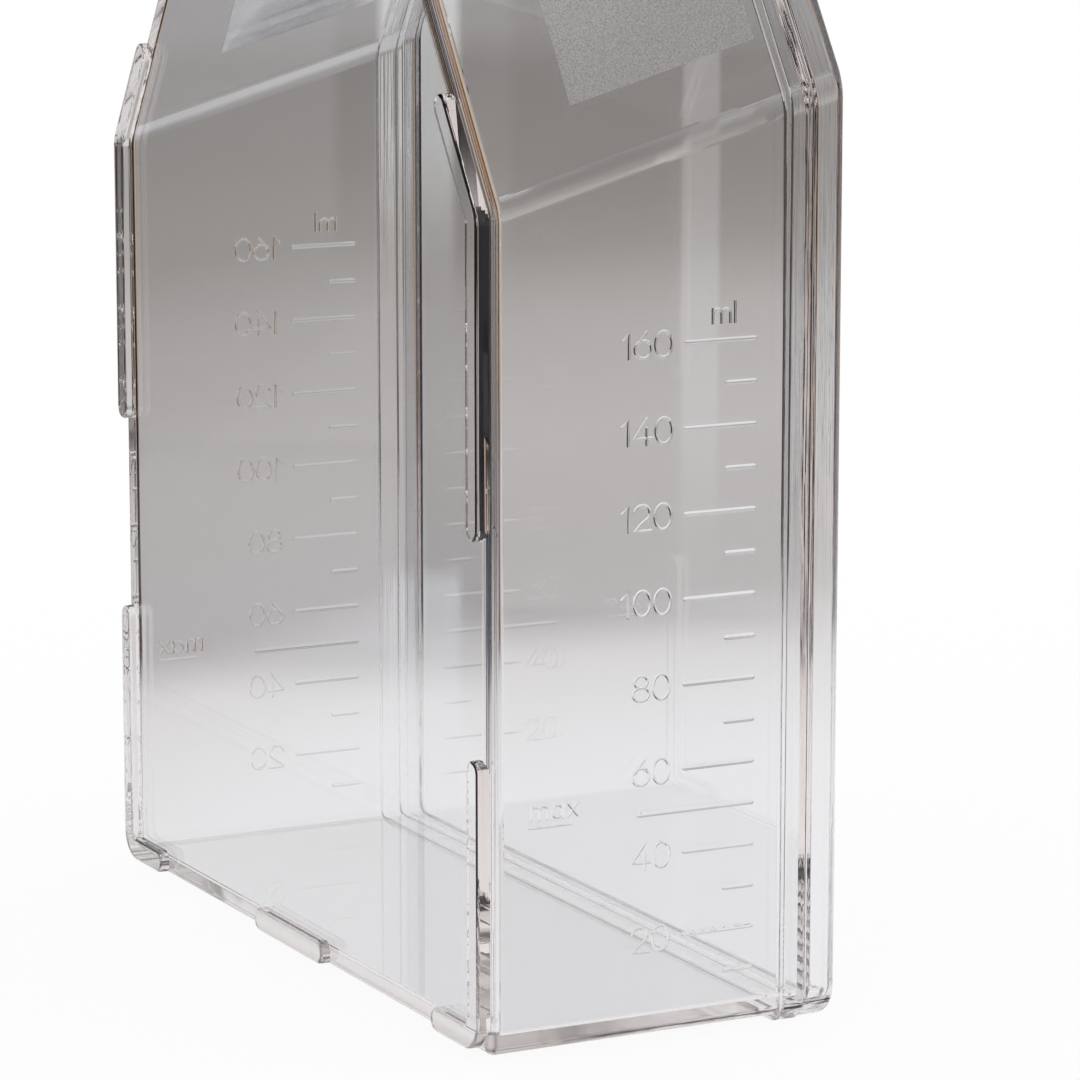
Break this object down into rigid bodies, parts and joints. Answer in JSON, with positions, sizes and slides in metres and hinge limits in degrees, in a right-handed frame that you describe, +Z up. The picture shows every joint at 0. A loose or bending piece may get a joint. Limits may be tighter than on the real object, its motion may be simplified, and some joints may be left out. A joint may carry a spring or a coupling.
{
  "type": "cell culture flask",
  "caption": "Clear flat-sided culture flask with a welded cover plate, volume scale and stacking ridges, closed by a vented screw cap on a canted neck.",
  "frame": {"origin": "under the middle of the whole flask, at the level it stands on", "axes": "+Z up along the flask towards the neck, +X across its width, +Y from the large moulded face towards the welded cover plate"},
  "size_m": [0.087, 0.0386, 0.1485],
  "materials": {
    "clear_polystyrene": "clear polished mould",
    "cap_polyethylene": "satin moulded",
    "seal_polyethylene": "natural moulded",
    "membrane": "matt porous film"
  },
  "bodies": {
    "flask": {"flask_body": "clear_polystyrene", "cover_plate": "clear_polystyrene"},
    "cap_insert": {"sealing_ring": "seal_polyethylene", "filter_membrane": "membrane"},
    "cap": {"screw_cap": "cap_polyethylene"}
  },
  "joints": [
    {"name": "cap_lift", "type": "slide", "parent": "flask", "child": "cap_insert", "axis": [0, -0.2726, 0.9621], "range_m": [0, 0.024]},
    {"name": "cap_turn", "type": "hinge", "parent": "cap_insert", "child": "cap", "pos_m": [0, 0.0009, 0.12126], "axis": [0, -0.2726, 0.9621], "range_deg": [0, 1446]}
  ],
  "couplings": [
    {"joint": "cap_turn", "follows": "cap_lift", "rad_per_m": 1047.2}
  ]
}
